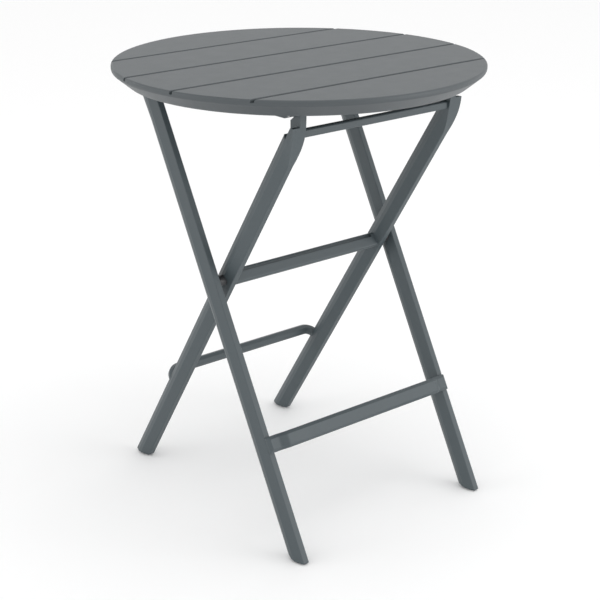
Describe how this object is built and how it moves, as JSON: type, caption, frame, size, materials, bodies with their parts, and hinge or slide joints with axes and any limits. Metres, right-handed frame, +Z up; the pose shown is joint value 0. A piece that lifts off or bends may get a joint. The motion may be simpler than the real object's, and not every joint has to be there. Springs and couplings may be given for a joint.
{
  "type": "bistro table",
  "caption": "Folding round bistro table: slatted round top hinged to one of two crossing faceted-leg frames, with crossbars and a bent rear rail.",
  "frame": {"origin": "on the floor under the centre of the round top", "axes": "+Z up, X along the crossbars, -Y to the front, where the outer frame's feet and the wide crossbar are"},
  "size_m": [0.5999, 0.6, 0.74],
  "materials": {
    "top_resin": "fine-grained matte moulded resin, mid grey",
    "frame_resin": "fine-grained matte moulded resin, mid grey",
    "pad_rubber": "dark matte rubber",
    "pin_steel": "turned stainless steel",
    "screw_steel": "zinc-plated steel",
    "spacer_nylon": "dark self-lubricating nylon"
  },
  "bodies": {
    "outer_frame": {"outer_leg_left": "frame_resin", "outer_leg_right": "frame_resin", "outer_lower_crossbar": "frame_resin", "outer_crossbar_screws": "screw_steel", "outer_foot_pads": "pad_rubber"},
    "inner_frame": {"inner_leg_left": "frame_resin", "inner_leg_right": "frame_resin", "inner_mid_crossbar": "frame_resin", "inner_upper_crossbar": "frame_resin", "inner_rear_rail": "frame_resin", "inner_foot_pads": "pad_rubber", "pivot_pins": "pin_steel", "pivot_spacers": "spacer_nylon"},
    "tabletop": {"tabletop": "top_resin", "hinge_bracket_left": "frame_resin", "hinge_bracket_right": "frame_resin", "hinge_bracket_screws": "screw_steel", "leg_keeper_left": "frame_resin", "leg_keeper_right": "frame_resin", "leg_keeper_screws": "screw_steel", "hinge_pins": "pin_steel", "hinge_pin_clips": "pin_steel"}
  },
  "joints": [
    {"name": "leg_fold", "type": "hinge", "parent": "outer_frame", "child": "inner_frame", "pos_m": [0, -0.0139, 0.4082], "axis": [-1, 0, 0], "range_deg": [0, 60.5]},
    {"name": "top_swing", "type": "hinge", "parent": "inner_frame", "child": "tabletop", "pos_m": [0, -0.186, 0.714], "axis": [1, 0, 0], "range_deg": [0, 33.5]}
  ],
  "couplings": [
    {"joint": "top_swing", "follows": "leg_fold", "ratio": 0.55}
  ]
}
